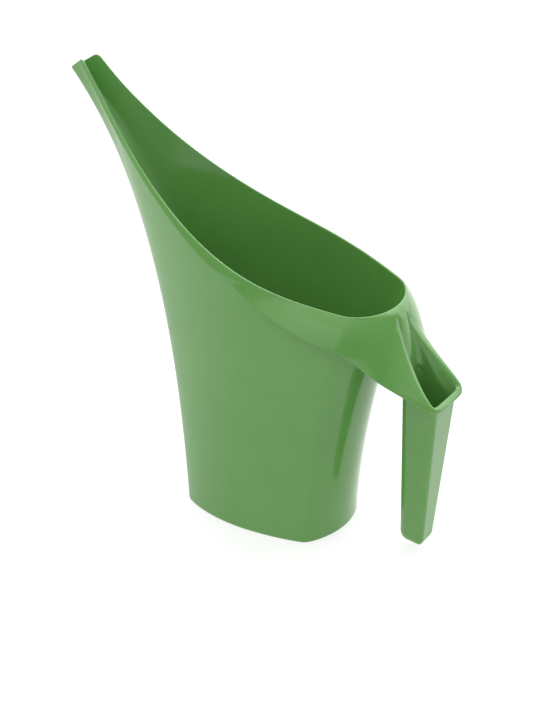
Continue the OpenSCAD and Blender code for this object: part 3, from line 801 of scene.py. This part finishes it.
def add_foot(solid):
    """The underside: a rounded outer edge, and a foot ring round a recess with a gate mark in it."""
    outline = WALL_OUTER[0]
    flat_out = unit(WALL_NORMALS[0] * LEVEL)
    corner = outline * LEVEL
    angle = EDGE_ANGLES
    edge = corner + (outline - corner) * (1 - np.sin(angle)) - flat_out * FOOT_EDGE * (1 - np.cos(angle))
    edge_normals = unit(flat_out * np.cos(angle) * FLOOR - UP * np.sin(angle) * FOOT_EDGE)
    edge_normals[0] = WALL_NORMALS[0]
    solid.add(edge, edge_normals, closed=True)
    ring_in = edge[-1] - flat_out * FOOT_RING
    solid.add(np.stack([edge[-1], ring_in]), -UP, closed=True)
    angle = STEP_ANGLES
    step = ring_in - flat_out * RECESS * np.sin(angle) + UP * RECESS * (1 - np.cos(angle))
    step_normals = grid_normals(step, closed=True)
    solid.add(step, step_normals * sign(-step_normals[..., 2:]), closed=True)
    turn = np.arctan2(step[-1, :, 1], step[-1, :, 0])
    gate = np.stack([np.cos(turn), np.sin(turn), 0 * turn], -1) * GATE_RADIUS + UP * RECESS
    solid.add(step[-1] * (1 - ACROSS) + gate * ACROSS, -UP, closed=True)
    dimple = np.stack([gate * vec(r, r, 1) + UP * height for r, height in GATE_PROFILE])
    dimple_normals = grid_normals(dimple, closed=True)
    solid.add(dimple, dimple_normals * sign(-dimple_normals[..., 2:]), closed=True)


def add_floor_inside(solid):
    """The top: up the back of the fillet, round it and over the floor."""
    outline, start = WALL_OUTER[0], WALL_INNER[0]
    flat_in = -unit(WALL_NORMALS[0] * LEVEL)
    angle = EDGE_ANGLES
    upper = skin(ROUND, FLOOR + FILLET) - WALL * wall_out(ROUND, FLOOR + FILLET)
    fillet = start + (upper - start) * (1 - np.sin(angle)) + flat_in * FILLET * (1 - np.cos(angle))
    solid.add(fillet, unit(flat_in * np.cos(angle) + UP * np.sin(angle)), closed=True)
    solid.add(np.stack([upper, start]), -flat_in, closed=True)
    solid.add(np.stack([start, outline]), UP, closed=True)
    solid.add(fillet[-1] * (1 - ACROSS) + UP * FLOOR * ACROSS, UP, closed=True)


def floor_panel(material):
    """The floor, which closes the pot's wall at its foot."""
    solid = Solid()
    add_foot(solid)
    add_floor_inside(solid)
    return solid.make("floor_panel_recessed", material)


# ------------------------------------------------------------------ plastic
DEEP_GREEN = (0.100, 0.274, 0.060, 1)
LIGHT_GREEN = (0.111, 0.296, 0.066, 1)
PLASTIC_IOR = 1.5
POLISHED, RUBBED = 0.10, 0.19  # roughness
WAVE_HEIGHT, PEEL_HEIGHT = 0.0006, 0.00003  # metres


def gloss_plastic():
    """High-gloss green plastic with faint mould waviness, fine peel, colour changes and rubbed marks."""
    material = bpy.data.materials.new("green_plastic_gloss")
    material.use_nodes = True
    nodes, links = material.node_tree.nodes, material.node_tree.links
    nodes.clear()
    output = nodes.new("ShaderNodeOutputMaterial")
    shader = nodes.new("ShaderNodeBsdfPrincipled")
    links.new(shader.outputs["BSDF"], output.inputs["Surface"])
    shader.inputs["IOR"].default_value = PLASTIC_IOR
    coords = nodes.new("ShaderNodeTexCoord")

    def noise(scale, detail=2.0, roughness=0.5, stretch=None):
        """A noise of about this many features to a metre."""
        node = nodes.new("ShaderNodeTexNoise")
        node.inputs["Scale"].default_value = scale
        node.inputs["Detail"].default_value = detail
        node.inputs["Roughness"].default_value = roughness
        source = coords.outputs["Object"]
        if stretch is not None:
            mapping = nodes.new("ShaderNodeMapping")
            mapping.inputs["Scale"].default_value = stretch
            links.new(source, mapping.inputs["Vector"])
            source = mapping.outputs["Vector"]
        links.new(source, node.inputs["Vector"])
        return node.outputs["Fac"]

    def spread(value, low, high, out_low, out_high):
        """The value, with low to high stretched to out_low to out_high."""
        node = nodes.new("ShaderNodeMapRange")
        node.inputs["From Min"].default_value = low
        node.inputs["From Max"].default_value = high
        node.inputs["To Min"].default_value = out_low
        node.inputs["To Max"].default_value = out_high
        links.new(value, node.inputs["Value"])
        return node.outputs["Result"]

    colours = nodes.new("ShaderNodeMix")
    colours.data_type = "RGBA"
    colours.inputs["A"].default_value = DEEP_GREEN
    colours.inputs["B"].default_value = LIGHT_GREEN
    links.new(spread(noise(14, 4), 0.35, 0.65, 0, 1), colours.inputs["Factor"])
    links.new(colours.outputs["Result"], shader.inputs["Base Color"])

    scuffs = spread(noise(30, 6, 0.7, (1, 1, 6)), 0.45, 0.75, POLISHED, RUBBED)
    links.new(scuffs, shader.inputs["Roughness"])

    waves = nodes.new("ShaderNodeBump")
    waves.inputs["Strength"].default_value = 0.25
    waves.inputs["Distance"].default_value = WAVE_HEIGHT
    links.new(noise(18, 1.5), waves.inputs["Height"])
    peel = nodes.new("ShaderNodeBump")
    peel.inputs["Strength"].default_value = 0.12
    peel.inputs["Distance"].default_value = PEEL_HEIGHT
    links.new(noise(900, 2), peel.inputs["Height"])
    links.new(waves.outputs["Normal"], peel.inputs["Normal"])
    links.new(peel.outputs["Normal"], shader.inputs["Normal"])
    return material


# ------------------------------------------------------------------ the pieces
plastic = gloss_plastic()
pieces = {
    "floor_panel": floor_panel(plastic),
    "pot_wall": wall_piece("pot_wall_leaning", plastic, ~IN_SPOUT),
    "spout": wall_piece("spout_channel", plastic, IN_SPOUT),
    "rim_bead": rim_bead(plastic),
    "collar": collar(plastic),
    "handle_pocket": handle_pocket(plastic),
    "grip": grip(plastic),
}
for node, piece in pieces.items():
    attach(piece, "root")
    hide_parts(node)

# ------------------------------------------------------------------ the studio
CAMERA_PLACE = vec(0.5952, -0.9872, 0.6679)
CAMERA_TILT, CAMERA_TURN = 65, 31  # degrees
LENS, SENSOR = 80, 36  # millimetres


def make_camera():
    """A long lens beside the can, above it and a little to the handle's end."""
    data = bpy.data.cameras.new("camera")
    data.lens = LENS
    data.sensor_width = SENSOR
    data.sensor_fit = "VERTICAL"
    data.sensor_height = SENSOR
    camera = bpy.data.objects.new("camera", data)
    camera.location = CAMERA_PLACE
    camera.rotation_euler = np.radians([CAMERA_TILT, 0, CAMERA_TURN])
    bpy.context.scene.collection.objects.link(camera)
    bpy.context.scene.camera = camera


FLOOR_REACH = 60.0
FLOOR_GREY, FLOOR_GLOW, FLOOR_ROUGHNESS = 0.35, 0.7, 0.8


def make_floor():
    """A grey floor that glows white, so that shadows on it stay faint."""
    mesh = bpy.data.meshes.new("studio_floor")
    corners = [(x * FLOOR_REACH, y * FLOOR_REACH, 0) for x, y in ((-1, -1), (1, -1), (1, 1), (-1, 1))]
    mesh.from_pydata(corners, [], [(0, 1, 2, 3)])
    material = bpy.data.materials.new("floor_paper")
    material.use_nodes = True
    shader = material.node_tree.nodes["Principled BSDF"]
    shader.inputs["Base Color"].default_value = (FLOOR_GREY, FLOOR_GREY, FLOOR_GREY, 1)
    shader.inputs["Emission Color"].default_value = (1, 1, 1, 1)
    shader.inputs["Emission Strength"].default_value = FLOOR_GLOW
    shader.inputs["Roughness"].default_value = FLOOR_ROUGHNESS
    mesh.materials.append(material)
    floor = bpy.data.objects.new("studio_floor", mesh)
    bpy.context.scene.collection.objects.link(floor)


def soft_light(name, place, target, size, power):
    """A rectangular area light at place that faces target."""
    data = bpy.data.lights.new(name, "AREA")
    data.shape = "RECTANGLE"
    data.size, data.size_y = size
    data.energy = power
    light = bpy.data.objects.new(name, data)
    light.location = place
    light.rotation_euler = (Vector(target) - Vector(place)).to_track_quat("-Z", "Y").to_euler()
    bpy.context.scene.collection.objects.link(light)


HORIZON_LIGHT, ZENITH_LIGHT = 0.27, 1.65
DOME_POWER = 2  # of the height with which the light grows


def make_world():
    """A soft white dome, brightest overhead."""
    world = bpy.data.worlds.new("studio_dome")
    world.use_nodes = True
    nodes, links = world.node_tree.nodes, world.node_tree.links
    background = nodes["Background"]
    background.inputs["Color"].default_value = (1, 1, 1, 1)
    coords = nodes.new("ShaderNodeTexCoord")
    split = nodes.new("ShaderNodeSeparateXYZ")
    links.new(coords.outputs["Generated"], split.inputs["Vector"])
    height = nodes.new("ShaderNodeMath")
    height.operation = "MAXIMUM"
    height.inputs[1].default_value = 0
    links.new(split.outputs["Z"], height.inputs[0])
    rise = nodes.new("ShaderNodeMath")
    rise.operation = "POWER"
    rise.inputs[1].default_value = DOME_POWER
    links.new(height.outputs["Value"], rise.inputs[0])
    strength = nodes.new("ShaderNodeMapRange")
    strength.inputs["To Min"].default_value = HORIZON_LIGHT
    strength.inputs["To Max"].default_value = ZENITH_LIGHT
    links.new(rise.outputs["Value"], strength.inputs["Value"])
    links.new(strength.outputs["Result"], background.inputs["Strength"])
    bpy.context.scene.world = world


make_camera()
make_floor()
make_world()
# Each light: its name, place, target, size and power, in metres and watts.
soft_light("backdrop", (0, 2.6, 1.2), (0, 0, 0.3), (5.0, 2.2), 55)
soft_light("front", (0.4, -2.1, 2.1), (0, 0, 0.2), (4.0, 1.6), 11)
soft_light("over_the_back", (-0.5, 0.85, 2.0), (0, 0, 0.2), (1.8, 0.9), 22)
soft_light("left", (-1.6, -1.0, 1.0), (0, 0, 0.15), (1.0, 1.6), 3)
bpy.context.scene.view_settings.view_transform = "Standard"
